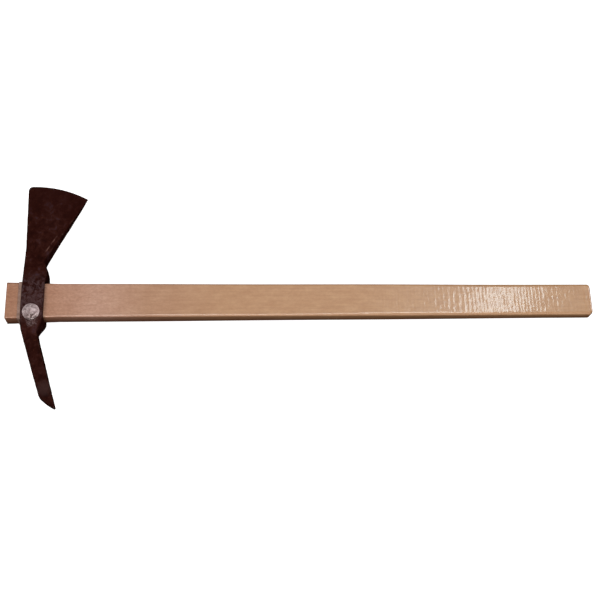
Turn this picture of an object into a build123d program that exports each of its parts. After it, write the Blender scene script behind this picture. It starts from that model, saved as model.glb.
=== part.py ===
from build123d import *
import math
import os

# A grub hoe: a forged head with a fan axe blade and a narrow grubbing arm, on a straight rectangular
# timber handle. Sizes are in millimetres. X runs along the handle from its head end to its grip end,
# Y points towards the axe blade and Z is square to the handle's wide face. The origin is the centre
# of the handle's head-end face.

# Handle: (distance from the head end, width, thickness, arris radius) at its three stations
HANDLE_LENGTH = 900.0
FLARE_LENGTH = 80.0
HANDLE_STATIONS = (
    (0.0, 58.8, 27.0, 1.5),
    (FLARE_LENGTH, 54.6, 25.0, 2.0),
    (HANDLE_LENGTH, 51.4, 20.0, 5.0),
)
END_CHAMFER = 0.8
GRIP_END_ROUND = 3.5

# Eye and packing
EYE_X = 40.5
EYE_HALF_THICKNESS = 22.0
FIT = 0.1
PACKING_THICKNESS = 1.2
PACKING_PROUD = 5.6
PACKING_INSET = 1.0
EYE_TOP = 53.5
EYE_BOTTOM = -31.0
HEAD_SIDE = 17.0
GRIP_SIDE = 17.2

# Grip-side outline of the collar, from the blade to the arm, with its lips above and below the eye
COLLAR_LIPS = (
    (17.6, EYE_TOP),
    (19.3, 46.0),
    (19.3, 36.0),
    (GRIP_SIDE, 26.0),
    (GRIP_SIDE, -22.0),
    (17.7, EYE_BOTTOM),
)

# Axe blade, measured from the centre of the eye
BLADE_NECK_Y = 64.0
BLADE_NECK_GRIP_X = 13.2
BLADE_OUTER = (-20.5, 197.7)
BLADE_INNER = (73.6, 175.2)
BLADE_WAIST = (-16.4, 84.0)
EDGE_RADIUS = 165.0
EDGE_CENTRE = (-11.0, 33.0)
EDGE_HALF = 0.4
EDGE_SLOPE = 0.2
OUTER_CORNER_RADIUS = 5.5

# Grubbing arm, measured from the centre of the eye
ARM_BEND = (-16.2, -45.0)
ARM_NECK = (8.3, -50.0)
ARM_BEVEL_START = (16.0, -150.0)
ARM_BEVEL_BULGE = (29.0, -161.4)
ARM_TIP_OUTER = (38.4, -167.0)
ARM_TIP_INNER = (41.0, -164.6)
ARM_BEND_RADIUS = 20.0

# Half thickness of the forging at each y, from the arm's tip to the blade's edge
THICKNESS = (
    (-168.0, 6.0),
    (-58.0, 11.8),
    (-48.0, 14.5),
    (-39.0, 18.8),
    (-30.0, EYE_HALF_THICKNESS),
    (20.0, EYE_HALF_THICKNESS),
    (44.0, 17.6),
    (72.0, 12.6),
    (200.0, 0.6),
)

# Through bolt: M8, cup head with a square neck
BOLT_Y = -22.3
SHANK_RADIUS = 4.0
BOLT_CLEARANCE = 0.2
BOLT_LENGTH = 60.0
DOME_RADIUS = 10.8
DOME_HEIGHT = 4.6
DOME_RIM = 0.9
NECK_SIDE = 8.0
NECK_LENGTH = 4.4
NECK_CLEARANCE = 0.3
WASHER_RADIUS = 12.8
WASHER_THICKNESS = 1.8
WASHER_CHAMFER = 0.6
REAR_WASHER_RADIUS = 12.0
SPRING_OUTER = 7.4
SPRING_THICKNESS = 2.1
SPRING_SLOT = 1.6
SPRING_SLOT_LEAN = 30.0
NUT_ACROSS_FLATS = 13.0
NUT_HEIGHT = 6.5
NUT_ROUNDING_HEIGHT = 0.5
NUT_ROUNDING_WIDTH = 0.9
THREAD_GAP = 0.05
BOLT_POINT = 1.0
CUT_MARGIN = 2.0
SIDE_VIEW_REACH = 120.0


def handle_section(x, grow):
    """Width, thickness and corner radius of the timber at x, grown outwards by grow."""
    for (x0, *low), (x1, *high) in zip(HANDLE_STATIONS, HANDLE_STATIONS[1:]):
        if x <= x1:
            break
    part = (x - x0) / (x1 - x0)
    width, thickness, radius = (a + (b - a) * part for a, b in zip(low, high))
    return width + 2 * grow, thickness + 2 * grow, radius + grow


def timber(x_start, x_end, grow=0.0):
    """The handle's form from x_start to x_end, grown outwards by grow."""
    stations = [x_start]
    if x_start < FLARE_LENGTH < x_end:
        stations.append(FLARE_LENGTH)
    stations.append(x_end)
    sections = []
    for x in stations:
        width, thickness, radius = handle_section(x, grow)
        plane = Plane(origin=(x, 0, 0), x_dir=(0, 1, 0), z_dir=(1, 0, 0))
        sections.append(plane * RectangleRounded(width, thickness, radius))
    return loft(sections, ruled=True)


def upright(radius, low, high):
    """A round bar along Z on the bolt's axis, from low to high."""
    return Pos(EYE_X, BOLT_Y, (low + high) / 2) * Cylinder(radius, high - low)


def bolt_hole():
    reach = EYE_HALF_THICKNESS + CUT_MARGIN
    return upright(SHANK_RADIUS + BOLT_CLEARANCE, -reach, reach)


def make_handle():
    body = timber(0.0, HANDLE_LENGTH)
    body = chamfer(body.faces().sort_by(Axis.X)[0].edges(), END_CHAMFER)
    body = fillet(body.faces().sort_by(Axis.X)[-1].edges(), GRIP_END_ROUND)
    return body - bolt_hole()


def forged(plan):
    """A plan outline given the forging's thickness, which follows THICKNESS along Y."""
    lower = [(y, -half) for y, half in reversed(THICKNESS)]
    side_view = Plane.YZ * make_face(Polyline(*THICKNESS, *lower, close=True))
    slab = extrude(plan, EYE_HALF_THICKNESS, both=True)
    return slab & extrude(side_view, SIDE_VIEW_REACH, both=True)


def make_blade():
    """Straight wedge, its fan edge ground to a bevel that follows the edge's arc."""
    edge = RadiusArc(BLADE_OUTER, BLADE_INNER, EDGE_RADIUS)
    grip_side = Polyline(BLADE_INNER, (BLADE_NECK_GRIP_X, BLADE_NECK_Y), (BLADE_NECK_GRIP_X, EYE_TOP))
    root = Line((BLADE_NECK_GRIP_X, EYE_TOP), (-HEAD_SIDE, EYE_TOP))
    head_side = Spline((-HEAD_SIDE, EYE_TOP), BLADE_WAIST, BLADE_OUTER)
    plan = make_face(Curve() + [edge, grip_side, root, head_side])
    corner = plan.vertices().sort_by_distance(BLADE_OUTER)[0]
    plan = fillet(corner, OUTER_CORNER_RADIUS)
    middle_half = EDGE_HALF + EDGE_RADIUS * EDGE_SLOPE
    lens_outline = Polyline(
        (0, -middle_half), (EDGE_RADIUS, -EDGE_HALF), (EDGE_RADIUS, EDGE_HALF), (0, middle_half), close=True)
    lens = Pos(*EDGE_CENTRE) * revolve(Plane.XZ * make_face(lens_outline), Axis.Z)
    return forged(plan) & lens


def make_arm():
    """Parallel bar raked towards the grip, its end cut to a convex chisel bevel."""
    neck_top = (BLADE_NECK_GRIP_X, EYE_BOTTOM)
    outer = Polyline((-HEAD_SIDE, EYE_BOTTOM), ARM_BEND, ARM_BEVEL_START)
    bevel = ThreePointArc(ARM_BEVEL_START, ARM_BEVEL_BULGE, ARM_TIP_OUTER)
    tip = Line(ARM_TIP_OUTER, ARM_TIP_INNER)
    inner = Polyline(ARM_TIP_INNER, ARM_NECK, neck_top, (-HEAD_SIDE, EYE_BOTTOM))
    plan = make_face(Curve() + [outer, bevel, tip, inner])
    bend = plan.vertices().sort_by_distance(ARM_BEND)[0]
    plan = fillet(bend, ARM_BEND_RADIUS)
    return forged(plan)


def make_collar():
    """The block round the eye, its shoulders sloping in to the blade and to the arm."""
    plan_points = [
        (-HEAD_SIDE, BLADE_NECK_Y),
        (BLADE_NECK_GRIP_X, BLADE_NECK_Y),
        *COLLAR_LIPS,
        ARM_NECK,
        ARM_BEND,
    ]
    return forged(make_face(Polyline(*plan_points, close=True)))


def make_head():
    """One forging: blade, collar and arm, with the tapered eye and the bolt hole through it."""
    forging = Pos(EYE_X, 0, 0) * (make_collar() + make_blade() + make_arm())
    eye_start = EYE_X - HEAD_SIDE - CUT_MARGIN
    eye_end = EYE_X + GRIP_SIDE + 2 * CUT_MARGIN
    eye = timber(eye_start, eye_end, PACKING_THICKNESS + 2 * FIT)
    pocket_side = NECK_SIDE + NECK_CLEARANCE
    pocket_depth = NECK_LENGTH - WASHER_THICKNESS + NECK_CLEARANCE
    pocket = Pos(EYE_X, BOLT_Y, EYE_HALF_THICKNESS) * Box(pocket_side, pocket_side, 2 * pocket_depth)
    return forging - eye - bolt_hole() - pocket


def make_eye_packing():
    """A leather strip wrapped round the timber in the eye, standing proud at the head end."""
    start = EYE_X - HEAD_SIDE - PACKING_PROUD
    end = EYE_X + GRIP_SIDE - PACKING_INSET
    sleeve = timber(start, end, PACKING_THICKNESS + FIT) - timber(start, end, FIT)
    return sleeve - bolt_hole()


def make_retaining_bolt():
    seat = EYE_HALF_THICKNESS + WASHER_THICKNESS
    sphere_radius = (DOME_RADIUS ** 2 + (DOME_HEIGHT - DOME_RIM) ** 2) / (2 * (DOME_HEIGHT - DOME_RIM))
    crown = Pos(0, 0, DOME_HEIGHT - sphere_radius) * Sphere(sphere_radius)
    dome = Pos(0, 0, DOME_HEIGHT / 2) * Cylinder(DOME_RADIUS, DOME_HEIGHT) & crown
    neck = Pos(0, 0, -NECK_LENGTH / 2) * Box(NECK_SIDE, NECK_SIDE, NECK_LENGTH)
    shank = Pos(0, 0, -BOLT_LENGTH / 2) * Cylinder(SHANK_RADIUS, BOLT_LENGTH)
    shank = chamfer(shank.faces().sort_by(Axis.Z)[0].edges(), BOLT_POINT)
    return Pos(EYE_X, BOLT_Y, seat) * (dome + neck + shank)


def make_front_washer():
    """Washer with a square hole for the bolt's neck."""
    low = EYE_HALF_THICKNESS
    disc = upright(WASHER_RADIUS, low, low + WASHER_THICKNESS)
    disc = chamfer(disc.faces().sort_by(Axis.Z)[-1].edges(), WASHER_CHAMFER)
    side = NECK_SIDE + NECK_CLEARANCE
    return disc - Pos(EYE_X, BOLT_Y, low) * Box(side, side, 2 * WASHER_THICKNESS + CUT_MARGIN)


def make_rear_washer():
    high = -EYE_HALF_THICKNESS
    disc = upright(REAR_WASHER_RADIUS, high - WASHER_THICKNESS, high)
    return disc - upright(SHANK_RADIUS + BOLT_CLEARANCE, high - CUT_MARGIN, high + CUT_MARGIN)


def make_spring_washer():
    """Split ring under the nut."""
    high = -EYE_HALF_THICKNESS - WASHER_THICKNESS
    low = high - SPRING_THICKNESS
    bore = upright(SHANK_RADIUS + BOLT_CLEARANCE, low - CUT_MARGIN, high + CUT_MARGIN)
    slot_place = Pos(EYE_X + SPRING_OUTER, BOLT_Y, (low + high) / 2) * Rot(SPRING_SLOT_LEAN, 0, 0)
    slot = slot_place * Box(2 * SPRING_OUTER, SPRING_SLOT, 2 * (SPRING_THICKNESS + CUT_MARGIN))
    return upright(SPRING_OUTER, low, high) - bore - slot


def make_hex_nut():
    high = -EYE_HALF_THICKNESS - WASHER_THICKNESS - SPRING_THICKNESS
    low = high - NUT_HEIGHT
    corner_radius = NUT_ACROSS_FLATS / math.sqrt(3)
    prism = Pos(EYE_X, BOLT_Y, low) * extrude(RegularPolygon(corner_radius, 6), NUT_HEIGHT)
    rounding = upright(corner_radius, low, high)
    rim = rounding.faces().sort_by(Axis.Z)[0].edges()
    rounding = chamfer(rim, NUT_ROUNDING_HEIGHT, NUT_ROUNDING_WIDTH)
    bore = upright(SHANK_RADIUS + THREAD_GAP, low - CUT_MARGIN, high + CUT_MARGIN)
    return (prism & rounding) - bore


MAKERS = {
    "handle": make_handle,
    "mattock_head": make_head,
    "eye_packing": make_eye_packing,
    "retaining_bolt": make_retaining_bolt,
    "front_washer": make_front_washer,
    "rear_washer": make_rear_washer,
    "spring_washer": make_spring_washer,
    "hex_nut": make_hex_nut,
}

os.makedirs("parts", exist_ok=True)
for node, maker in MAKERS.items():
    export_step(maker(), f"parts/{node}.step")
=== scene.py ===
import math

import bmesh
import bpy
import numpy as np
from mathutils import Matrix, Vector, noise


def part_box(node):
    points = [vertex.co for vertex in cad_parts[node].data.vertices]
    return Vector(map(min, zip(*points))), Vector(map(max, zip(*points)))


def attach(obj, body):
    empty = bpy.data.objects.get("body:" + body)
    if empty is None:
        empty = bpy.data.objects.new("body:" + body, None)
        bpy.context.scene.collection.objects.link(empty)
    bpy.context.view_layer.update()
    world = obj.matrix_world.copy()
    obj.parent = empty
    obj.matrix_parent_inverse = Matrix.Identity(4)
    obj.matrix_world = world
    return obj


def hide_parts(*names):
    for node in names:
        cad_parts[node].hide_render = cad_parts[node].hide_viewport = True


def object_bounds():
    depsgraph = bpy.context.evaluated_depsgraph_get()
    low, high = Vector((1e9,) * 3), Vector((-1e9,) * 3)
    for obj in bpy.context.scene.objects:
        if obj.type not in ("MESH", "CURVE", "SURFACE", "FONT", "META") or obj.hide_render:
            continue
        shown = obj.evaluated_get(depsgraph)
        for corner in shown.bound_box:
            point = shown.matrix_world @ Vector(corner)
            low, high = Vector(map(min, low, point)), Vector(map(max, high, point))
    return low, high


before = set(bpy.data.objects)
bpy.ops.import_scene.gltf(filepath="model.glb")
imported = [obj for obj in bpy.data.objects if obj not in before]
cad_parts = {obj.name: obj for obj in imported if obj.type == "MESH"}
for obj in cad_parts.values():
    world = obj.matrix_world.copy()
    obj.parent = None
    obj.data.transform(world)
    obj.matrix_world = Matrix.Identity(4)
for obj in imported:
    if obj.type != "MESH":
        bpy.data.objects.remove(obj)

# A grub hoe: forged head with a fan axe blade and a narrow grubbing arm on a varnished timber handle.
# Shapes are worked out in millimetres in the frame of the CAD parts and turned into metres by MM.
MM = 0.001
CAD_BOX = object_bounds()


def box_mm(node):
    """Lowest and highest corner of a CAD node, in millimetres."""
    low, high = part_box(node)
    return low / MM, high / MM


_, HANDLE_HIGH = box_mm("handle")
_, HEAD_HIGH = box_mm("mattock_head")
BOLT_LOW, BOLT_HIGH = box_mm("retaining_bolt")
PACKING_LOW, PACKING_HIGH = box_mm("eye_packing")
FRONT_LOW, FRONT_HIGH = box_mm("front_washer")
REAR_LOW, REAR_HIGH = box_mm("rear_washer")
SPRING_LOW, SPRING_HIGH = box_mm("spring_washer")
NUT_LOW, NUT_HIGH = box_mm("hex_nut")
BOLT_X = (BOLT_LOW.x + BOLT_HIGH.x) / 2
BOLT_Y = (BOLT_LOW.y + BOLT_HIGH.y) / 2
EYE_X = BOLT_X
CHEEK = HEAD_HIGH.z

# Timber stations: distance from the head end, half width, half thickness, arris radius
FLARE_END = 80.0
TIMBER = np.array([
    (0.0, 29.35, 13.45, 1.6),
    (FLARE_END, 27.25, 12.45, 2.2),
    (HANDLE_HIGH.x, 25.65, 9.95, 4.8),
])
HEAD_END_ROUND = 1.0
GRIP_END_ROUND = 4.4
GRIP_CORNER_ROUND = 6.5
STATION_STEP = 0.8
SIDE_CLEARANCE = 0.15
FACE_CLEARANCE = 0.05
ARRIS_LEAST = 0.6
ARRIS_WANDER = 0.14
ARRIS_WAVE = 61.0
CUP_DEPTH = 0.16
CUP_WAVE = 210.0
TIMBER_HOLE_RADIUS = 4.2

# Marks of the planer: scallops along the timber, a finer ripple, and (reach, wave, start) of each sway
SCALLOP_LENGTH = 6.2
SCALLOP_DEPTH = 0.085
SCALLOP_SKEW = 0.012
SCALLOP_SLIP = 1.8
SWAYS = ((5.0, 31.0, 0.0), (1.5, 11.7, 1.0))
RIPPLE_DEPTH = 0.06
PLANED_SHARE = 0.3
PLANED_RISE = (420.0, 620.0)

# Packing: how far its inner and outer faces are off the timber, and how far in its ragged edge reaches
PACKING_INNER = 0.2
PACKING_OUTER = 1.28
PACKING_LIP = 3.4

# Head stations, from the arm's tip to the blade's edge, measured from the centre of the eye:
# head-side x and y, grip-side x and y, arris radius
HEAD_STATIONS = np.array([
    (38.5, -166.7, 41.0, -164.5, 0.7),
    (29.3, -161.4, 38.4, -155.6, 1.3),
    (16.2, -150.0, 35.0, -143.6, 1.7),
    (-11.2, -63.0, 10.2, -56.5, 2.4),
    (-15.9, -47.0, 8.5, -50.0, 2.6),
    (-16.5, -38.0, 14.6, -38.6, 2.6),
    (-16.7, -31.0, 17.7, -31.0, 2.2),
    (-16.8, -22.0, 17.2, -22.0, 2.2),
    (-17.0, 26.0, 17.2, 26.0, 2.2),
    (-17.0, 36.0, 19.4, 36.0, 2.0),
    (-17.0, 46.0, 19.4, 46.0, 2.0),
    (-16.9, 54.0, 17.4, 54.0, 1.8),
    (-16.7, 64.0, 13.4, 64.0, 1.8),
    (-16.4, 84.0, 22.2, 80.8, 1.8),
    (-20.4, 197.4, 73.5, 175.0, 0.5),
])
NECK_ROW = 12
EYE_START = EYE_X - 17.0
EYE_END = EYE_X + 17.2
HEAD_STEPS = 330
HEAD_BLUR = 1.6
# Inset of the painted highlight line from the blade's grip-side arris
HIGHLIGHT_INSET = 6.5

# Half thickness of the forging at each y
THICKNESS = np.array([
    (-168.0, 5.9),
    (-58.0, 11.7),
    (-48.0, 14.4),
    (-39.0, 18.7),
    (-30.0, CHEEK - 0.05),
    (20.0, CHEEK - 0.05),
    (44.0, 17.5),
    (72.0, 12.5),
    (200.0, 0.6),
])
THICKNESS_STEP = 0.5
THICKNESS_BLUR = 4.0

# Cutting edge
EDGE_RADIUS = 165.0
EDGE_HALF = 0.4
EDGE_SLOPE = 0.2
EDGE_LEAST = 0.3
BEVEL_SOFTNESS = 1.2
BEVEL_DIP = 0.3
OUTER_CORNER_RADIUS = 7.0

# Marks on the forging: (feature size, seed, depth), BEATEN being the band across the near cheek,
# which stays smooth round the washer's seat
ROLLING = ((23.0, 3.1, 0.30), (8.0, 8.4, 0.16))
DIMPLES = ((11.0, 5.2, 0.22), (4.2, 9.7, 0.05))
BEATEN = ((5.4, 2.9, 0.42), (3.1, 6.3, 0.252))
SEAT_EDGE = (12.0, 16.0)

# Openings in the forging
HEAD_HOLE_RADIUS = 4.3
EYE_FLARE = 3.2
EYE_GAP = 1.4

# Bolt, washers and nut, their rims and the bolt's crown kept just inside the CAD's sizes
RIM_CLEARANCE = 0.05
REAR_HOLE = 4.25
FRONT_HOLE = 5.9
SPRING_HOLE = 4.3
SPRING_GAP = 7.0
SPRING_RISE = 0.2
NUT_CORNER = 7.35
NUT_MOUTH = 4.7
NUT_BORE = 4.1
THREAD_PITCH = 1.25
THREAD_RADIUS = 3.98
THREAD_DEPTH = 0.62

# Camera, seen from above the near side of the handle
CAMERA_PLACE = (0.3409, -0.6207, 1.5739)
CAMERA_ANGLES = (21.683, -3.196, -1.484)
CAMERA_LENS = 66.0
CAMERA_SENSOR = 36.0
CAMERA_CLIP = 0.01

# Lights: name, place, target, width and height in metres, power in watts, colour
MIDDLE = (0.45, 0.0, 0.0)
GLARE_SPOT = (0.76, 0.0, 0.0)
WHITE = (1.0, 1.0, 1.0)
LIGHTS = (
    ("key", (0.40, 0.15, 2.3), MIDDLE, (1.9, 0.5), 32.5, (1.0, 0.985, 0.95)),
    ("glare", (1.42, 0.985, 2.5), GLARE_SPOT, (0.17, 0.36), 2.2, (0.80, 0.95, 1.0)),
    ("haze", (1.42, 0.985, 2.5), GLARE_SPOT, (0.75, 0.95), 2.0, (0.66, 0.90, 1.0)),
    ("end", (2.9, 0.75, 0.95), (0.9, 0.0, 0.0), (0.4, 1.3), 13.0, (1.0, 0.93, 0.97)),
    ("front", (0.35, -1.2, 2.1), MIDDLE, (0.5, 0.3), 4.0, WHITE),
    ("near_fill", (0.4, -2.0, 1.4), MIDDLE, (3.8, 2.2), 37.0, (1.0, 0.88, 0.82)),
    ("far_fill", (0.4, 2.6, 1.0), MIDDLE, (2.4, 1.4), 2.5, WHITE),
    ("left_fill", (-2.2, 0.2, 1.0), (0.0, 0.0, 0.0), (1.4, 1.2), 4.0, WHITE),
)


def smooth_step(low, high, value):
    t = np.clip((value - low) / (high - low), 0.0, 1.0)
    return t * t * (3.0 - 2.0 * t)


def noise_at(points, size, seed):
    """Smooth noise, about -1 to 1, with features of the given size in millimetres."""
    shift = Vector((seed, 1.7 * seed, -2.3 * seed))
    return np.array([noise.noise(Vector(p) / size + shift) for p in points])


def dents_at(points, size, seed):
    """Shallow round dimples, 0 to 1, about size millimetres apart."""
    shift = Vector((seed, -seed, 0.5 * seed))
    nearest = np.array([noise.voronoi(Vector(p) / size + shift)[0][0] for p in points])
    return np.clip(1.0 - (1.5 * nearest) ** 2, 0.0, 1.0)


def rounded_loop(wide, side, corner):
    """One turn round a rounded rectangle: the corner each point belongs to and its outward normal.

    Rows are (across, up, normal across, normal up), with across and up from -1 to 1.
    """
    corners = ((1, 1, 90.0), (1, -1, 0.0), (-1, -1, -90.0), (-1, 1, -180.0))
    runs = (side, wide, side, wide)
    rows = []
    for index, (across, up, start) in enumerate(corners):
        for k in range(corner + 1):
            angle = math.radians(start - 90.0 * k / corner)
            rows.append((across, up, math.cos(angle), math.sin(angle)))
        next_across, next_up, _ = corners[(index + 1) % 4]
        for k in range(1, runs[index]):
            t = k / runs[index]
            rows.append((
                across + (next_across - across) * t,
                up + (next_up - up) * t,
                rows[-1][2],
                rows[-1][3],
            ))
    return np.array(rows)


def mirror_pairs(loop):
    """For each point of a loop, the point opposite it across the middle plane."""
    flipped = loop * np.array([1, -1, 1, -1])
    return [int(np.argmin(np.abs(loop - row).sum(axis=1))) for row in flipped]


def grid_faces(rings, count, caps=None):
    """Quads between rings of count points, closed by the strips that caps pairs up."""
    faces = []
    for ring in range(rings - 1):
        for k in range(count):
            a = ring * count + k
            b = ring * count + (k + 1) % count
            faces.append((a, b, b + count, a + count))
    if caps is None:
        return faces
    for base, turned in ((0, True), ((rings - 1) * count, False)):
        for k in range(count):
            ahead = (k + 1) % count
            corners = [k, ahead, caps[ahead], caps[k]]
            if len(set(corners)) < 3 or min(k, ahead) != min(corners):
                continue
            corners = list(dict.fromkeys(corners))
            face = [base + c for c in corners]
            faces.append(tuple(face[::-1] if turned else face))
    return faces


def make_object(name, points, faces, smooth_angle=35.0):
    """A mesh object from points in millimetres."""
    mesh = bpy.data.meshes.new(name)
    mesh.from_pydata([tuple(p) for p in np.asarray(points) * MM], [], faces)
    work = bmesh.new()
    work.from_mesh(mesh)
    bmesh.ops.remove_doubles(work, verts=work.verts, dist=0.002 * MM)
    bmesh.ops.recalc_face_normals(work, faces=work.faces)
    work.to_mesh(mesh)
    work.free()
    piece = bpy.data.objects.new(name, mesh)
    bpy.context.scene.collection.objects.link(piece)
    shade(piece, smooth_angle)
    return piece


def shade(piece, smooth_angle):
    """Smooth shading, with edges sharper than the angle kept crisp."""
    mesh = piece.data
    mesh.shade_smooth()
    mesh.set_sharp_from_angle(angle=math.radians(smooth_angle))


def apply_modifiers(piece):
    graph = bpy.context.evaluated_depsgraph_get()
    baked = bpy.data.meshes.new_from_object(piece.evaluated_get(graph))
    piece.modifiers.clear()
    piece.data = baked


def cut(piece, cutter):
    """Takes the cutter's form out of the piece, and the cutter out of the scene."""
    step = piece.modifiers.new("cut", "BOOLEAN")
    step.operation = "DIFFERENCE"
    step.solver = "EXACT"
    step.object = cutter
    bpy.context.view_layer.update()
    apply_modifiers(piece)
    bpy.data.objects.remove(cutter)


# ---------------------------------------------------------------- timber


def timber_size(x):
    """Half width, half thickness and arris radius of the timber at x."""
    return [np.interp(x, TIMBER[:, 0], TIMBER[:, k]) for k in (1, 2, 3)]


def end_inset(x):
    """How far the section is drawn in at the rounded ends."""
    inset = np.zeros_like(x)
    for depth, radius in ((x, HEAD_END_ROUND), (HANDLE_HIGH.x - x, GRIP_END_ROUND)):
        reach = np.clip(radius - depth, 0.0, radius)
        inset += radius - np.sqrt(radius ** 2 - reach ** 2)
    return inset


def handle_stations():
    """Even stations along the handle, closer together over the rounded ends."""
    near = np.linspace(0.0, 1.0, 7) ** 2
    head_end = HEAD_END_ROUND * near
    grip_end = HANDLE_HIGH.x - GRIP_END_ROUND * near[::-1]
    middle = np.arange(HEAD_END_ROUND + STATION_STEP, HANDLE_HIGH.x - GRIP_END_ROUND, STATION_STEP)
    return np.concatenate([head_end, middle, grip_end])


def planer_marks(x, y):
    """Depth of the scallops that the planer's knives left across the face, broken up by the grain."""
    spots = np.stack([x, y, 0.0 * x], axis=-1).reshape(-1, 3)
    slip = noise_at(spots, 11.0, 2.2).reshape(x.shape)
    bite = noise_at(spots, 8.0, 6.1).reshape(x.shape)
    ripple = noise_at(spots, 4.6, 3.7).reshape(x.shape)
    stretch = x + SCALLOP_SLIP * slip
    for reach, wave, start in SWAYS:
        stretch = stretch + reach * np.sin(x / wave + start)
    phase = np.mod((stretch + SCALLOP_SKEW * y) / SCALLOP_LENGTH, 1.0)
    scallop = 1.0 - (2.0 * phase - 1.0) ** 2
    knife = 0.8 + 0.2 * np.sin(stretch / SCALLOP_LENGTH * 1.9)
    scallop = scallop * knife * np.clip(0.8 + 0.9 * bite, 0.15, 1.3)
    depth = SCALLOP_DEPTH * scallop + RIPPLE_DEPTH * (0.5 + 0.5 * ripple)
    return depth * (PLANED_SHARE + (1.0 - PLANED_SHARE) * smooth_step(*PLANED_RISE, x))


def round_corner(x, y, corner_x, corner_y, radius):
    """Moves the points of a square corner, at high x and low y, on to an arc."""
    a = x - (corner_x - radius)
    b = (corner_y + radius) - y
    inside = (a > 0) & (b > 0)
    reach = np.where(inside, np.maximum(a, b) / np.maximum(np.hypot(a, b), 1e-9), 1.0)
    new_x = np.where(inside, corner_x - radius + a * reach, x)
    new_y = np.where(inside, corner_y + radius - b * reach, y)
    return new_x, new_y


def build_handle():
    loop = rounded_loop(34, 10, 6)
    stations = handle_stations()
    x = np.repeat(stations, len(loop)).reshape(len(stations), len(loop))
    half_width, half_thick, radius = timber_size(x)
    inset = end_inset(x)
    wander = np.sin(x / ARRIS_WAVE + 2.0 * loop[:, 0]) * np.sign(loop[:, 1])
    radius = np.maximum(radius * (1.0 + ARRIS_WANDER * wander), ARRIS_LEAST)
    y = loop[:, 0] * (half_width - inset - radius - SIDE_CLEARANCE) + radius * loop[:, 2]
    z = loop[:, 1] * (half_thick - inset - radius - FACE_CLEARANCE) + radius * loop[:, 3]
    z -= loop[:, 3] * planer_marks(x, y)
    cup = CUP_DEPTH * (1.0 - (y / half_width) ** 2) * np.abs(loop[:, 3])
    z -= np.sign(z) * cup * (0.5 + 0.5 * np.sin(x / CUP_WAVE))
    x, y = round_corner(x, y, HANDLE_HIGH.x, -float(TIMBER[-1, 1]), GRIP_CORNER_ROUND)
    points = np.stack([x, y, z], axis=-1).reshape(-1, 3)
    faces = grid_faces(len(stations), len(loop), mirror_pairs(loop))
    handle = make_object("handle_timber", points, faces)
    cut(handle, bar("hole_cutter", TIMBER_HOLE_RADIUS, -CHEEK, CHEEK))
    shade(handle, 35.0)
    return handle


def sleeve_loop(x, grow, loop):
    """One loop round the timber at x, standing grow millimetres off it."""
    half_width, half_thick, radius = (float(v) for v in timber_size(x))
    radius += grow
    y = loop[:, 0] * (half_width + grow - radius) + radius * loop[:, 2]
    z = loop[:, 1] * (half_thick + grow - radius) + radius * loop[:, 3]
    return y, z


def packing_rows():
    """(distance from the cut edge, distance from the timber) round the packing's section."""
    far = PACKING_HIGH.x - PACKING_LOW.x - 1.0
    inner, outer = PACKING_INNER, PACKING_OUTER
    edge = [(0.35, inner), (0.0, inner + 0.3), (0.0, outer - 0.35), (0.3, outer - 0.05), (0.9, outer)]
    return edge + [(2.2, outer), (PACKING_LIP, outer), (far, outer), (far, inner), (PACKING_LIP, inner)]


def build_packing():
    """Leather strip round the timber, its cut edge a little uneven."""
    loop = rounded_loop(64, 30, 6)
    count = len(loop)
    turn = np.arange(count) / count * math.tau
    ragged = 0.35
    for reach, waves, start in ((0.22, 3, 0.4), (0.13, 11, 0.0), (0.08, 37, 0.0)):
        ragged = ragged + reach * np.sin(waves * turn + start)
    points = []
    for depth, grow in packing_rows():
        x = PACKING_LOW.x + depth + ragged * (1.0 - min(depth / PACKING_LIP, 1.0))
        y, z = sleeve_loop(PACKING_LOW.x + depth, grow, loop)
        swollen = grow > 1.0 and depth < 3.0
        swell = np.abs(0.10 * np.sin(23 * turn + depth)) * swollen
        points.append(np.stack([x, y - loop[:, 2] * swell, z - loop[:, 3] * swell], axis=-1))
    points.append(points[0])
    faces = grid_faces(len(points), count)
    return make_object("packing_strip", np.concatenate(points), faces, 60.0)


# ---------------------------------------------------------------- forging


def edge_centre():
    """Centre of the cutting edge's arc, from its two corners and its radius."""
    outer = Vector(HEAD_STATIONS[-1, 0:2])
    inner = Vector(HEAD_STATIONS[-1, 2:4])
    chord = inner - outer
    drop = math.sqrt(EDGE_RADIUS ** 2 - (chord.length / 2) ** 2)
    down = Vector((chord.y, -chord.x)).normalized()
    return (outer + inner) / 2 + down * drop


def blur_kernel(reach, step):
    """Bell-shaped weights on either side of a sample, step being the spacing over the blur."""
    weights = np.exp(-0.5 * (np.arange(-reach, reach + 1) * step) ** 2)
    return weights / weights.sum()


def head_rows():
    """The head's stations, evenly spaced, with their corners softened."""
    middle = (HEAD_STATIONS[:, 0:2] + HEAD_STATIONS[:, 2:4]) / 2
    along = np.concatenate([[0.0], np.cumsum(np.hypot(*np.diff(middle, axis=0).T))])
    even = np.linspace(0.0, along[-1], HEAD_STEPS)
    spread = even[1] - even[0]
    reach = int(4 * HEAD_BLUR / spread) + 1
    kernel = blur_kernel(reach, spread / HEAD_BLUR)
    columns = []
    for values in HEAD_STATIONS.T:
        raw = np.interp(even, along, values)
        before = 2 * raw[0] - raw[reach:0:-1]
        after = 2 * raw[-1] - raw[-2:-reach - 2:-1]
        columns.append(np.convolve(np.concatenate([before, raw, after]), kernel, "valid"))
    return np.stack(columns, axis=-1), even / along[-1], along[NECK_ROW] / along[-1]


def edge_bulge(share, centre):
    """How far the cutting edge's arc stands off its chord, at a share of the way along it."""
    outer = HEAD_STATIONS[-1, 0:2]
    inner = HEAD_STATIONS[-1, 2:4]
    chord = outer + (inner - outer) * share[..., None]
    ray = chord - np.array(centre)
    length = np.linalg.norm(ray, axis=-1, keepdims=True)
    return ray / length * EDGE_RADIUS - ray


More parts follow.
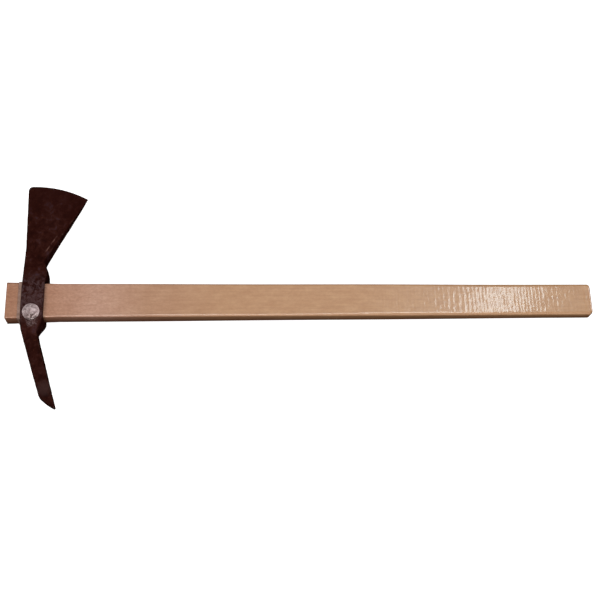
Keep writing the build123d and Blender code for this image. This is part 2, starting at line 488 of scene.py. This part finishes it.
def half_at(y):
    """Half thickness of the forging at y, with the corners of its side view softened."""
    margin = 20.0
    fine = np.arange(THICKNESS[0, 0] - margin, THICKNESS[-1, 0] + margin, THICKNESS_STEP)
    raw = np.interp(fine, THICKNESS[:, 0], THICKNESS[:, 1])
    reach = int(3 * THICKNESS_BLUR / THICKNESS_STEP)
    kernel = blur_kernel(reach, THICKNESS_STEP / THICKNESS_BLUR)
    soft = np.convolve(np.pad(raw, reach, mode="edge"), kernel, "valid")
    return np.interp(y, fine, soft)


def ground_half(x, y, half, centre):
    """The half thickness where the blade is ground down to its cutting edge."""
    ground = EDGE_HALF + EDGE_SLOPE * (EDGE_RADIUS - np.hypot(x - centre.x, y - centre.y))
    gap = np.clip(0.5 + (ground - half) / BEVEL_SOFTNESS, 0.0, 1.0)
    blend = half * gap + ground * (1.0 - gap) - BEVEL_DIP * gap * (1.0 - gap)
    return np.maximum(blend, EDGE_LEAST)


def forge_marks(points, x, y, z):
    """Depth taken off the forging by hammer, scale and wear, in millimetres."""
    depth = 0.0
    for size, seed, deep in ROLLING:
        depth = depth + deep * (0.5 + 0.5 * noise_at(points, size, seed))
    for size, seed, deep in DIMPLES:
        depth = depth + deep * dents_at(points, size, seed)
    face = smooth_step(CHEEK - 2.0, CHEEK - 0.5, z)
    band = face * smooth_step(-13.0, -6.0, y) * (1.0 - smooth_step(24.0, 34.0, y))
    for size, seed, deep in BEATEN:
        depth = depth + deep * band * dents_at(points, size, seed)
    seat = np.hypot(x + EYE_X - BOLT_X, y - BOLT_Y)
    return depth * smooth_step(*SEAT_EDGE, seat + 40.0 * (1.0 - face))


def build_head():
    """The forging, lofted from the arm's tip to the axe's edge, then pierced for timber and bolt."""
    rows, along, neck = head_rows()
    centre = edge_centre()
    loop = rounded_loop(54, 22, 5)
    left, right = rows[:, None, 0:2], rows[:, None, 2:4]
    width = np.linalg.norm(right - left, axis=-1)
    arris = rows[:, 4:5]
    across = loop[:, 0] * (width / 2 - arris) + arris * loop[:, 2]
    share = across / width + 0.5
    plan = left + (right - left) * share[..., None]
    blade = np.clip((along - neck) / (1.0 - neck), 0.0, 1.0)[:, None]
    plan = plan + edge_bulge(share, centre) * (blade ** 1.5)[..., None]
    x, y = plan[..., 0], plan[..., 1]
    corner = HEAD_STATIONS[-1, 0:2]
    flip_x, flip_y = round_corner(-x, -y, -corner[0], -corner[1], OUTER_CORNER_RADIUS)
    x, y = -flip_x, -flip_y
    half = half_at(y)
    half = np.where(blade > 0, ground_half(x, y, half, centre), half)
    arris = np.minimum(arris, 0.8 * half)
    z = loop[:, 1] * (half - arris) + arris * loop[:, 3]
    points = np.stack([x, y, z], axis=-1).reshape(-1, 3)
    depth = forge_marks(points, *points.T).reshape(x.shape)
    thin = np.clip(half / 8.0, 0.05, 1.0)
    direction = (rows[:, 2:4] - rows[:, 0:2]) / width
    x = x - depth * thin * loop[:, 2] * direction[:, 0:1]
    y = y - depth * thin * loop[:, 2] * direction[:, 1:2]
    z = z - depth * thin * loop[:, 3]
    points = np.stack([x + EYE_X, y, z], axis=-1).reshape(-1, 3)
    faces = grid_faces(len(rows), len(loop), mirror_pairs(loop))
    head = make_object("forged_head", points, faces)
    cut(head, eye_cutter())
    cut(head, bar("bolt_cutter", HEAD_HOLE_RADIUS, -CHEEK - 3.0, CHEEK + 3.0))
    shade(head, 42.0)
    return head


def eye_cutter():
    """The eye's form, with its mouths flared by the chamfer that a smith's drift leaves."""
    loop = rounded_loop(18, 8, 6)
    stations = [
        (EYE_START - 4.0, EYE_FLARE),
        (EYE_START + 1.4, EYE_GAP),
        (EYE_END - 1.6, EYE_GAP),
        (EYE_END + 4.0, EYE_FLARE),
    ]
    points = []
    for x, grow in stations:
        y, z = sleeve_loop(x, grow, loop)
        points.append(np.stack([np.full(len(loop), x), y, z], axis=-1))
    faces = grid_faces(len(stations), len(loop), mirror_pairs(loop))
    return make_object("eye_cutter", np.concatenate(points), faces)


# ---------------------------------------------------------------- bolt, washers and nut


def around_bolt(radius, angle, height):
    """The point at a radius and angle about the bolt's axis."""
    return BOLT_X + radius * math.cos(angle), BOLT_Y + radius * math.sin(angle), height


def lathe(profile, steps=72):
    """Points and faces of a profile of (radius, height) turned about the bolt's axis."""
    points = []
    for radius, height in profile:
        for k in range(steps):
            points.append(around_bolt(radius, math.tau * k / steps, height))
    return np.array(points), grid_faces(len(profile), steps)


def bar(name, radius, low, high):
    """Closed round bar on the bolt's axis."""
    points, faces = lathe([(0.0, low), (radius, low), (radius, high), (0.0, high)])
    return make_object(name, points, faces)


def arc_profile(centre_radius, centre_height, radius, start, end, steps=5):
    """Profile points along an arc, angles in degrees from straight outwards."""
    turns = np.radians(np.linspace(start, end, steps))
    return [(centre_radius + radius * math.cos(t), centre_height + radius * math.sin(t)) for t in turns]


def washer_profile(inner, outer, low, high, soft):
    """A washer's section, closed on itself, with softened rims."""
    outline = arc_profile(outer - soft, high - soft, soft, 90, 0)
    outline += arc_profile(outer - soft, low + soft, soft, 0, -90)
    outline += [(inner + soft, low), (inner, low + soft), (inner, high - soft), (inner + soft, high)]
    return outline + outline[:1]


def build_front_washer():
    outer = (FRONT_HIGH.x - FRONT_LOW.x) / 2
    profile = washer_profile(FRONT_HOLE, outer - RIM_CLEARANCE, FRONT_LOW.z, FRONT_HIGH.z, 0.55)
    points, faces = lathe(profile, 96)
    return make_object("front_washer_ring", hammer_top(points, FRONT_HIGH.z), faces, 50.0)


def hammer_top(points, top):
    """Slight hammering over the top face of a disc."""
    marks = 0.12 * dents_at(points, 3.4, 4.4)
    upper = smooth_step(top - 0.4, top, points[:, 2])
    points[:, 2] -= marks * upper
    return points


def build_rear_washer():
    outer = (REAR_HIGH.x - REAR_LOW.x) / 2
    profile = washer_profile(REAR_HOLE, outer - RIM_CLEARANCE, REAR_LOW.z, REAR_HIGH.z, 0.35)
    points, faces = lathe(profile, 96)
    return make_object("rear_washer_ring", points, faces, 50.0)


def build_spring_washer():
    """Split ring, its two ends a little out of line."""
    outer = (SPRING_HIGH.x - SPRING_LOW.x) / 2 - RIM_CLEARANCE
    room = 0.12
    profile = washer_profile(SPRING_HOLE, outer, SPRING_LOW.z + room, SPRING_HIGH.z - room, 0.3)[:-1]
    steps = 72
    points = []
    for k in range(steps + 1):
        angle = math.radians(SPRING_GAP + (360.0 - 2.0 * SPRING_GAP) * k / steps)
        lift = SPRING_RISE * (k / steps - 0.5)
        for radius, height in profile:
            skew = angle + (height - SPRING_LOW.z) * 0.05
            points.append(around_bolt(radius, skew, height + lift))
    count = len(profile)
    faces = grid_faces(steps + 1, count)
    faces.append(tuple(range(count)))
    faces.append(tuple(range(steps * count, (steps + 1) * count)))
    return make_object("spring_washer_ring", np.array(points), faces, 40.0)


def build_nut():
    """Hexagon with its corners turned off by a cone, and a countersunk mouth."""
    half_flat = (NUT_HIGH.y - NUT_LOW.y) / 2
    steps = 144
    height = NUT_HIGH.z - NUT_LOW.z
    rows = [(0.0, NUT_BORE), (0.0, 6.0), (0.25, 6.45), (0.9, NUT_CORNER), (height - 0.9, NUT_CORNER)]
    rows += [(height - 0.25, 6.45), (height, 6.0), (height, NUT_MOUTH)]
    rows += [(height - 0.6, NUT_BORE), (0.6, NUT_BORE)]
    points = []
    for depth, limit in rows + rows[:1]:
        for k in range(steps):
            angle = math.tau * k / steps
            turned = (angle + math.pi / 6) % (math.pi / 3) - math.pi / 6
            radius = min(limit, half_flat / math.cos(turned))
            points.append(around_bolt(radius, angle + math.pi / 2, NUT_LOW.z + depth))
    return make_object("hex_nut_turned", np.array(points), grid_faces(len(rows) + 1, steps), 28.0)


def build_bolt():
    """Cup head and a shank with its thread cut."""
    seat = FRONT_HIGH.z
    top = BOLT_HIGH.z - RIM_CLEARANCE
    rim = (BOLT_HIGH.x - BOLT_LOW.x) / 2 - RIM_CLEARANCE
    low_rim = seat + 0.75
    rise = top - low_rim
    sphere = (rim ** 2 + rise ** 2) / (2 * rise)
    profile = [(0.0, seat), (rim - 0.7, seat), (rim - 0.15, seat + 0.25), (rim, low_rim)]
    for k in range(1, 15):
        radius = rim * (1.0 - k / 15)
        profile.append((radius, top - sphere + math.sqrt(sphere ** 2 - radius ** 2)))
    profile.append((0.0, top))
    head, faces = lathe(profile, 96)
    marks = 0.16 * dents_at(head, 4.6, 7.7) + 0.10 * (0.5 + 0.5 * noise_at(head, 2.4, 1.2))
    head[:, 2] -= marks * smooth_step(low_rim, low_rim + 1.0, head[:, 2])
    shank_points, shank_faces = threaded_shank(seat)
    offset = len(head)
    shank_faces = [tuple(k + offset for k in face) for face in shank_faces]
    return make_object("bolt_cup_head", np.concatenate([head, shank_points]), faces + shank_faces, 40.0)


def threaded_shank(seat):
    """Plain shank that turns into a cut thread below the far cheek."""
    steps = 36
    low = BOLT_LOW.z
    threaded = np.arange(-CHEEK, low + 1.0, -THREAD_PITCH / 10)
    heights = np.concatenate([[seat], threaded, [low + 0.5, low, low]])
    last = len(heights) - 1
    points = []
    for row, height in enumerate(heights):
        for k in range(steps):
            phase = (height / THREAD_PITCH + k / steps) % 1.0
            groove = THREAD_DEPTH * (1.0 - abs(2.0 * phase - 1.0)) if 0 < row < last - 1 else 0.0
            pointed = THREAD_RADIUS - 0.9 * max(low + 1.0 - height, 0.0)
            size = min(THREAD_RADIUS - groove, pointed) if row < last else 0.0
            points.append(around_bolt(size, math.tau * k / steps, height))
    return np.array(points), grid_faces(len(heights), steps)


# ---------------------------------------------------------------- materials


class Surface:
    """A material's node tree, with short calls for the nodes that the finishes share."""

    def __init__(self, name):
        self.material = bpy.data.materials.new(name)
        self.material.use_nodes = True
        self.tree = self.material.node_tree
        self.shader = self.tree.nodes["Principled BSDF"]
        coordinates = self.tree.nodes.new("ShaderNodeTexCoord")
        self.place = coordinates.outputs["Object"]

    def put(self, socket, value):
        if isinstance(value, bpy.types.NodeSocket):
            self.tree.links.new(value, socket)
        else:
            socket.default_value = value

    def new(self, kind, **settings):
        node = self.tree.nodes.new(kind)
        for key, value in settings.items():
            setattr(node, key, value)
        return node

    def mapped(self, scale, shift=(0.0, 0.0, 0.0)):
        node = self.new("ShaderNodeMapping")
        self.put(node.inputs["Vector"], self.place)
        node.inputs["Scale"].default_value = scale
        node.inputs["Location"].default_value = shift
        return node.outputs["Vector"]

    def noise(self, scale, detail=4.0, roughness=0.55, distortion=0.0, vector=None):
        node = self.new("ShaderNodeTexNoise")
        self.put(node.inputs["Vector"], vector or self.place)
        node.inputs["Scale"].default_value = scale
        node.inputs["Detail"].default_value = detail
        node.inputs["Roughness"].default_value = roughness
        node.inputs["Distortion"].default_value = distortion
        return node.outputs["Fac"]

    def cells(self, scale, vector=None, feature="F1"):
        node = self.new("ShaderNodeTexVoronoi", feature=feature)
        self.put(node.inputs["Vector"], vector or self.place)
        node.inputs["Scale"].default_value = scale
        return node.outputs["Distance"]

    def ramp(self, value, *stops):
        """Colour or grey stops of (position, colour)."""
        node = self.new("ShaderNodeValToRGB")
        self.put(node.inputs["Fac"], value)
        elements = node.color_ramp.elements
        while len(elements) < len(stops):
            elements.new(0.5)
        for element, (position, colour) in zip(elements, stops):
            element.position = position
            if isinstance(colour, (int, float)):
                colour = (colour, colour, colour)
            element.color = (*colour, 1.0)
        return node.outputs["Color"]

    def math(self, operation, first, second=0.0):
        node = self.new("ShaderNodeMath", operation=operation)
        self.put(node.inputs[0], first)
        self.put(node.inputs[1], second)
        return node.outputs["Value"]

    def mix(self, amount, first, second, blend="MIX"):
        node = self.new("ShaderNodeMix", data_type="RGBA", blend_type=blend)
        self.put(node.inputs["Factor"], amount)
        self.put(node.inputs[6], self.colour(first))
        self.put(node.inputs[7], self.colour(second))
        return node.outputs[2]

    @staticmethod
    def colour(value):
        return value if isinstance(value, bpy.types.NodeSocket) else (*value, 1.0)

    def near(self, centre, inner, outer, ragged, scale):
        """1 close to a point in millimetres and 0 beyond outer, with a ragged border."""
        node = self.new("ShaderNodeVectorMath", operation="DISTANCE")
        self.put(node.inputs[0], self.place)
        node.inputs[1].default_value = [c * MM for c in centre]
        wobble = self.math("SUBTRACT", self.noise(scale, 3.0), 0.5)
        distance = self.math("MULTIPLY_ADD", wobble, ragged * MM)
        self.put(distance.node.inputs[2], node.outputs["Value"])
        return self.span(distance, inner * MM, outer * MM, 1.0, 0.0)

    def span(self, value, low, high, to_low=0.0, to_high=1.0):
        node = self.new("ShaderNodeMapRange", interpolation_type="SMOOTHSTEP")
        self.put(node.inputs["Value"], value)
        node.inputs["From Min"].default_value = low
        node.inputs["From Max"].default_value = high
        node.inputs["To Min"].default_value = to_low
        node.inputs["To Max"].default_value = to_high
        return node.outputs["Result"]

    def axes(self):
        node = self.new("ShaderNodeSeparateXYZ")
        self.put(node.inputs["Vector"], self.place)
        return node.outputs["X"], node.outputs["Y"], node.outputs["Z"]

    def bump(self, *layers):
        """Chained bumps of (height, depth in millimetres)."""
        normal = None
        for height, depth in layers:
            node = self.new("ShaderNodeBump")
            node.inputs["Strength"].default_value = 1.0
            node.inputs["Distance"].default_value = depth * MM
            self.put(node.inputs["Height"], height)
            if normal is not None:
                self.put(node.inputs["Normal"], normal)
            normal = node.outputs["Normal"]
        self.put(self.shader.inputs["Normal"], normal)

    def finish(self, **sockets):
        for name, value in sockets.items():
            socket = self.shader.inputs[name.replace("_", " ")]
            if isinstance(value, tuple) and len(value) == 3:
                value = (*value, 1.0)
            self.put(socket, value)
        return self.material


def timber_finish():
    """Pale pinkish timber under gloss varnish, redder and duller towards the head."""
    s = Surface("varnished_timber")
    x, _, _ = s.axes()
    long_grain = s.mapped((14.0, 420.0, 420.0))
    fine = s.noise(1.0, 6.0, 0.62, 0.25, long_grain)
    fibres = s.noise(1.0, 5.0, 0.7, 0.1, s.mapped((30.0, 1500.0, 1500.0), (0.3, 0.1, 0.7)))
    rings = s.new("ShaderNodeTexWave", wave_type="RINGS", rings_direction="X")
    s.put(rings.inputs["Vector"], s.mapped((0.12, 1.0, 1.0), (0.0, 0.055, 0.034)))
    rings.inputs["Scale"].default_value = 62.0
    rings.inputs["Distortion"].default_value = 3.2
    rings.inputs["Detail"].default_value = 3.0
    rings.inputs["Detail Scale"].default_value = 1.4
    bands = rings.outputs["Fac"]
    cloud = s.noise(1.0, 4.0, 0.6, 0.0, s.mapped((45.0, 110.0, 110.0), (1.1, 0.4, 0.0)))
    pores = s.cells(1.0, s.mapped((160.0, 2600.0, 2600.0)))
    along = s.ramp(
        s.span(x, 0.0, 0.9),
        (0.0, (0.425, 0.215, 0.135)),
        (0.06, (0.545, 0.330, 0.245)),
        (0.14, (0.470, 0.270, 0.168)),
        (0.3, (0.505, 0.295, 0.166)),
        (1.0, (0.515, 0.305, 0.166)),
    )
    grain = s.ramp(fine, (0.30, (0.95, 0.93, 0.91)), (0.55, (1.0, 1.0, 1.0)), (0.8, (1.03, 1.03, 1.02)))
    colour = s.mix(1.0, along, grain, "MULTIPLY")
    ring_tint = s.ramp(bands, (0.0, (0.93, 0.90, 0.88)), (0.6, (1.0, 1.0, 1.0)), (1.0, (1.02, 1.02, 1.0)))
    colour = s.mix(0.3, colour, ring_tint, "MULTIPLY")
    blush = s.ramp(cloud, (0.35, (0.94, 0.90, 0.87)), (0.65, (1.05, 1.06, 1.06)))
    colour = s.mix(1.0, colour, blush, "MULTIPLY")
    thread = s.ramp(fibres, (0.28, (0.84, 0.78, 0.74)), (0.45, (1.0, 1.0, 1.0)))
    colour = s.mix(0.6, colour, thread, "MULTIPLY")
    fleck = s.noise(1.0, 5.0, 0.7, 0.2, s.mapped((210.0, 330.0, 330.0), (0.6, 0.2, 0.9)))
    flecked = s.ramp(fleck, (0.38, (0.88, 0.85, 0.83)), (0.50, (1.0, 1.0, 1.0)), (0.62, (1.11, 1.14, 1.15)))
    colour = s.mix(s.span(x, 0.03, 0.30, 1.0, 0.35), colour, flecked, "MULTIPLY")
    speck = s.ramp(pores, (0.06, 1.0), (0.14, 0.0))
    colour = s.mix(s.math("MULTIPLY", speck, 0.45), colour, (0.20, 0.085, 0.045))
    # Painted shade: the timber's near side darker towards its foot, and a dark line along the far arris.
    colour = s.mix(painted_edge_shade(s), colour, (0.36, 0.28, 0.25), "MULTIPLY")
    colour = s.mix(end_grain_mask(s, x), colour, end_grain_colour(s))
    colour = s.mix(s.math("MULTIPLY", head_grime(s), 0.75), colour, (0.10, 0.045, 0.028))
    rough = s.ramp(fine, (0.3, 0.34), (0.7, 0.46))
    s.bump((fine, 0.02), (fibres, 0.015))
    s.finish(Coat_Weight=0.9, Coat_Roughness=0.10, Coat_IOR=1.5)
    return s.finish(Base_Color=colour, Roughness=rough, Specular_IOR_Level=0.35)


def painted_edge_shade(s):
    """0 to 1 where painted shade darkens the near side towards its foot, and where a painted dark line runs
    along the far arris.
    """
    turned = s.new("ShaderNodeSeparateXYZ")
    s.put(turned.inputs["Vector"], s.new("ShaderNodeTexCoord").outputs["Normal"])
    across = turned.outputs["Y"]
    x, y, z = s.axes()
    near = s.math("MULTIPLY", s.span(across, -0.9, -0.4, 1.0, 0.0), s.span(z, -0.012, 0.011, 1.0, 0.0))
    edge = s.math("ADD", y, s.math("MULTIPLY", x, 0.002))
    far = s.math("MULTIPLY", s.span(edge, 0.0253, 0.0268), 0.5)
    return s.math("MAXIMUM", near, far)


def end_grain_mask(s, x):
    """1 on the two cut ends, which drink more varnish."""
    length = HANDLE_HIGH.x * MM
    head_end = s.span(x, 0.0002, 0.0009, 1.0, 0.0)
    grip_end = s.span(x, length - 0.0016, length - 0.0004)
    return s.math("MULTIPLY", s.math("MAXIMUM", head_end, grip_end), 0.8)


def end_grain_colour(s):
    rings = s.new("ShaderNodeTexWave", wave_type="RINGS", rings_direction="X")
    s.put(rings.inputs["Vector"], s.mapped((0.0, 1.0, 1.0), (0.0, 0.055, 0.034)))
    rings.inputs["Scale"].default_value = 130.0
    rings.inputs["Distortion"].default_value = 1.2
    rings.inputs["Detail"].default_value = 3.0
    return s.ramp(rings.outputs["Fac"], (0.2, (0.17, 0.075, 0.042)), (0.8, (0.33, 0.165, 0.10)))


def head_grime(s):
    """Dark rubbed-in dirt where the timber meets the steel."""
    x, _, _ = s.axes()
    low = s.span(x, (EYE_X - 26.0) * MM, (EYE_X - 15.0) * MM)
    high = s.span(x, (EYE_X + 17.0) * MM, (EYE_X + 23.0) * MM, 1.0, 0.0)
    streaks = s.noise(1.0, 4.0, 0.6, 0.0, s.mapped((40.0, 500.0, 500.0)))
    return s.math("MULTIPLY", s.math("MULTIPLY", low, high), s.ramp(streaks, (0.35, 0.2), (0.7, 1.0)))


def painted_arris_highlight(s):
    """Painted highlight: 1 on a line just inside the blade's grip-side arris, near its root."""
    start = HEAD_STATIONS[-2, 2:4]
    end = HEAD_STATIONS[-1, 2:4]
    along = (end - start) / np.linalg.norm(end - start)
    square = Vector((along[1], -along[0], 0.0))
    node = s.new("ShaderNodeVectorMath", operation="DOT_PRODUCT")
    s.put(node.inputs[0], s.place)
    node.inputs[1].default_value = square
    line = square.dot(Vector((EYE_X + start[0], start[1], 0.0))) - HIGHLIGHT_INSET
    away = s.math("ABSOLUTE", s.math("SUBTRACT", node.outputs["Value"], line * MM))
    band = s.span(away, 0.4 * MM, 1.6 * MM, 1.0, 0.0)
    _, y, z = s.axes()
    reach = s.math("MULTIPLY", s.span(y, 0.078, 0.086), s.span(y, 0.100, 0.118, 1.0, 0.0))
    front = s.span(z, 0.002, 0.004)
    return s.math("MULTIPLY", s.math("MULTIPLY", band, reach), front)


def forged_finish():
    """Dark red-brown forge scale, mottled purple-grey, rusted in specks and rubbed on its arrises, with a
    painted highlight along the blade's grip-side arris.
    """
    s = Surface("forged_steel")
    _, y, z = s.axes()
    mottle = s.noise(95.0, 7.0, 0.66, 0.4)
    cloud = s.noise(24.0, 3.0, 0.5)
    fine = s.noise(520.0, 5.0, 0.65)
    rust = s.noise(210.0, 6.0, 0.7, 0.3)
    pits = s.cells(900.0)
    base = s.ramp(
        mottle,
        (0.36, (0.0145, 0.0026, 0.0018)),
        (0.48, (0.0225, 0.0042, 0.0028)),
        (0.57, (0.0320, 0.0080, 0.0055)),
        (0.68, (0.0430, 0.0190, 0.0230)),
    )
    warm = s.ramp(cloud, (0.35, (0.85, 0.75, 0.72)), (0.5, (1.0, 1.0, 1.0)), (0.68, (1.15, 1.35, 1.5)))
    base = s.mix(1.0, base, warm, "MULTIPLY")
    outer = s.span(y, 0.110, 0.190, 0.0, 0.6)
    base = s.mix(outer, base, (0.0215, 0.0042, 0.0032))
    arm = s.span(y, -0.075, -0.045, 1.0, 0.0)
    base = s.mix(arm, base, (0.66, 0.47, 0.38), "MULTIPLY")
    cheek = s.math("MULTIPLY", s.span(y, -0.045, -0.02), s.span(y, 0.022, 0.05, 1.0, 0.0))
    worn = s.ramp(s.noise(150.0, 5.0, 0.75, 0.8), (0.44, 0.0), (0.56, 1.0))
    patina = s.math("MULTIPLY", s.math("MULTIPLY", cheek, s.span(z, 0.015, 0.021)), worn)
    base = s.mix(s.math("MULTIPLY", patina, 0.85), base, (0.074, 0.043, 0.046))
    tip = s.near((EYE_X + 24.0, -137.0, 9.0), 4.0, 17.0, 9.0, 260.0)
    base = s.mix(s.math("MULTIPLY", tip, 0.35), base, (0.060, 0.036, 0.034))
    specks = s.ramp(rust, (0.60, 0.0), (0.68, 1.0))
    base = s.mix(s.math("MULTIPLY", specks, 0.5), base, (0.075, 0.022, 0.010))
    geometry = s.new("ShaderNodeNewGeometry")
    ridge = s.ramp(geometry.outputs["Pointiness"], (0.515, 0.0), (0.58, 1.0))
    broken = s.ramp(s.noise(90.0, 4.0, 0.7), (0.45, 0.0), (0.60, 1.0))
    rubbed = s.math("MULTIPLY", s.math("MULTIPLY", ridge, broken), 0.7)
    base = s.mix(rubbed, base, (0.14, 0.085, 0.070))
    # Painted highlight: a paler broken line along the blade's grip-side arris.
    arris_highlight = s.math("MULTIPLY", painted_arris_highlight(s), broken)
    base = s.mix(s.math("MULTIPLY", arris_highlight, 0.75), base, (0.17, 0.085, 0.070))
    bare = s.near((BOLT_X + 1.0, BOLT_Y - 15.5, CHEEK), 3.0, 10.5, 12.0, 420.0)
    flecks = s.ramp(s.noise(700.0, 5.0, 0.8), (0.47, 0.0), (0.56, 1.0))
    base = s.mix(s.math("MULTIPLY", bare, flecks), base, (0.24, 0.175, 0.18))
    rough = s.ramp(mottle, (0.3, 0.66), (0.7, 0.48))
    s.bump((s.noise(160.0, 5.0, 0.6), 0.35), (fine, 0.10), (s.ramp(pits, (0.05, 0.0), (0.35, 1.0)), 0.05))
    s.finish(Specular_IOR_Level=0.075, Specular_Tint=(1.0, 0.52, 0.46))
    return s.finish(Base_Color=base, Roughness=rough)


def zinc_finish(name, dirt_centre, wear):
    """Dull zinc with a crystalline cloud, scratches and grime caught at the rims."""
    s = Surface(name)
    crystal = s.cells(420.0, None, "SMOOTH_F1")
    cloud = s.noise(240.0, 5.0, 0.6, 0.6)
    scratch = s.noise(1.0, 4.0, 0.7, 0.0, s.mapped((2600.0, 300.0, 300.0), (0.2, 0.5, 0.1)))
    worn = s.ramp(
        cloud,
        (0.34, (0.27, 0.19, 0.195)),
        (0.50, (0.52, 0.41, 0.42)),
        (0.64, (0.78, 0.67, 0.68)),
    )
    colour = s.mix(wear, (0.50, 0.43, 0.43), worn)
    tone = s.ramp(crystal, (0.1, (1.08, 1.08, 1.08)), (0.7, (0.86, 0.85, 0.86)))
    colour = s.mix(0.8, colour, tone, "MULTIPLY")
    grime_place = s.near(dirt_centre, 6.0, 14.0, 13.0, 260.0)
    grime_spots = s.ramp(s.noise(330.0, 5.0, 0.8), (0.42, 0.0), (0.55, 1.0))
    grime = s.math("MULTIPLY", s.math("MULTIPLY", grime_place, grime_spots), wear)
    colour = s.mix(grime, colour, (0.050, 0.026, 0.022))
    freckle = s.ramp(s.noise(900.0, 4.0, 0.7), (0.62, 0.0), (0.70, 1.0))
    colour = s.mix(s.math("MULTIPLY", freckle, 0.6), colour, (0.10, 0.055, 0.045))
    rough = s.ramp(cloud, (0.3, 0.66), (0.7, 0.50))
    s.bump((cloud, 0.12), (scratch, 0.02), (crystal, 0.03))
    return s.finish(Base_Color=colour, Roughness=rough, Metallic=0.25)


def leather_finish():
    """Dry pinkish-grey leather, its cut edge paler and fibrous."""
    s = Surface("dry_leather")
    grain = s.cells(1500.0)
    fibre = s.noise(1.0, 5.0, 0.7, 0.3, s.mapped((1800.0, 500.0, 500.0)))
    stain = s.noise(140.0, 4.0, 0.6)
    colour = s.ramp(
        stain,
        (0.35, (0.25, 0.155, 0.125)),
        (0.6, (0.40, 0.27, 0.225)),
        (0.8, (0.48, 0.34, 0.29)),
    )
    crease = s.ramp(grain, (0.05, (0.6, 0.55, 0.52)), (0.3, (1.0, 1.0, 1.0)))
    colour = s.mix(0.6, colour, crease, "MULTIPLY")
    s.bump((fibre, 0.12), (grain, 0.06))
    rough = s.ramp(fibre, (0.3, 0.75), (0.7, 0.92))
    return s.finish(Base_Color=colour, Roughness=rough, Specular_IOR_Level=0.2)


# ---------------------------------------------------------------- stage, lights and camera


def add_floor():
    """Pale floor under the lowest point of the tool."""
    size = 6.0
    low = CAD_BOX[0][2]
    mesh = bpy.data.meshes.new("floor")
    corners = [(-size, -size), (size, -size), (size, size), (-size, size)]
    mesh.from_pydata([(x, y, low) for x, y in corners], [], [(0, 1, 2, 3)])
    floor = bpy.data.objects.new("floor", mesh)
    bpy.context.scene.collection.objects.link(floor)
    s = Surface("floor_white")
    s.finish(Base_Color=(0.5, 0.5, 0.5), Roughness=0.9, Specular_IOR_Level=0.0)
    s.finish(Emission_Color=(1.0, 1.0, 1.0), Emission_Strength=1.0)
    mesh.materials.append(s.material)
    floor.visible_diffuse = False
    floor.visible_glossy = False


def add_light(name, place, target, size, power, colour):
    """Rectangular soft light, turned to face its target."""
    light = bpy.data.lights.new(name, "AREA")
    light.shape = "RECTANGLE"
    light.size, light.size_y = size
    light.energy = power
    light.color = colour
    lamp = bpy.data.objects.new(name, light)
    lamp.location = place
    lamp.rotation_euler = (Vector(target) - Vector(place)).to_track_quat("-Z", "Y").to_euler()
    bpy.context.scene.collection.objects.link(lamp)


def add_lights():
    for light in LIGHTS:
        add_light(*light)
    world = bpy.data.worlds.new("studio")
    bpy.context.scene.world = world
    world.use_nodes = True
    background = world.node_tree.nodes["Background"]
    background.inputs["Color"].default_value = (1.0, 1.0, 1.0, 1.0)
    background.inputs["Strength"].default_value = 1.0
    world.cycles_visibility.diffuse = False
    world.cycles_visibility.glossy = False


def add_camera():
    camera = bpy.data.cameras.new("camera")
    camera.lens = CAMERA_LENS
    camera.sensor_width = CAMERA_SENSOR
    camera.clip_start = CAMERA_CLIP
    holder = bpy.data.objects.new("camera", camera)
    holder.location = CAMERA_PLACE
    holder.rotation_euler = [math.radians(a) for a in CAMERA_ANGLES]
    bpy.context.scene.collection.objects.link(holder)
    bpy.context.scene.camera = holder
    bpy.context.scene.view_settings.view_transform = "Standard"


def dress(piece, material, node):
    """Gives a piece its material and its place in the frame."""
    piece.data.materials.clear()
    piece.data.materials.append(material)
    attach(piece, "root")
    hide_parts(node)


add_camera()
add_lights()
add_floor()
dress(build_handle(), timber_finish(), "handle")
dress(build_head(), forged_finish(), "mattock_head")
dress(build_packing(), leather_finish(), "eye_packing")
near_dirt = (BOLT_X + 2.0, BOLT_Y - 12.0, CHEEK + 3.0)
far_dirt = (BOLT_X + 6.0, BOLT_Y - 6.0, -CHEEK - 4.0)
near_zinc = zinc_finish("zinc_near", near_dirt, 1.0)
far_zinc = zinc_finish("zinc_far", far_dirt, 0.35)
dress(build_bolt(), near_zinc, "retaining_bolt")
dress(build_front_washer(), near_zinc, "front_washer")
dress(build_rear_washer(), far_zinc, "rear_washer")
dress(build_spring_washer(), far_zinc, "spring_washer")
dress(build_nut(), far_zinc, "hex_nut")
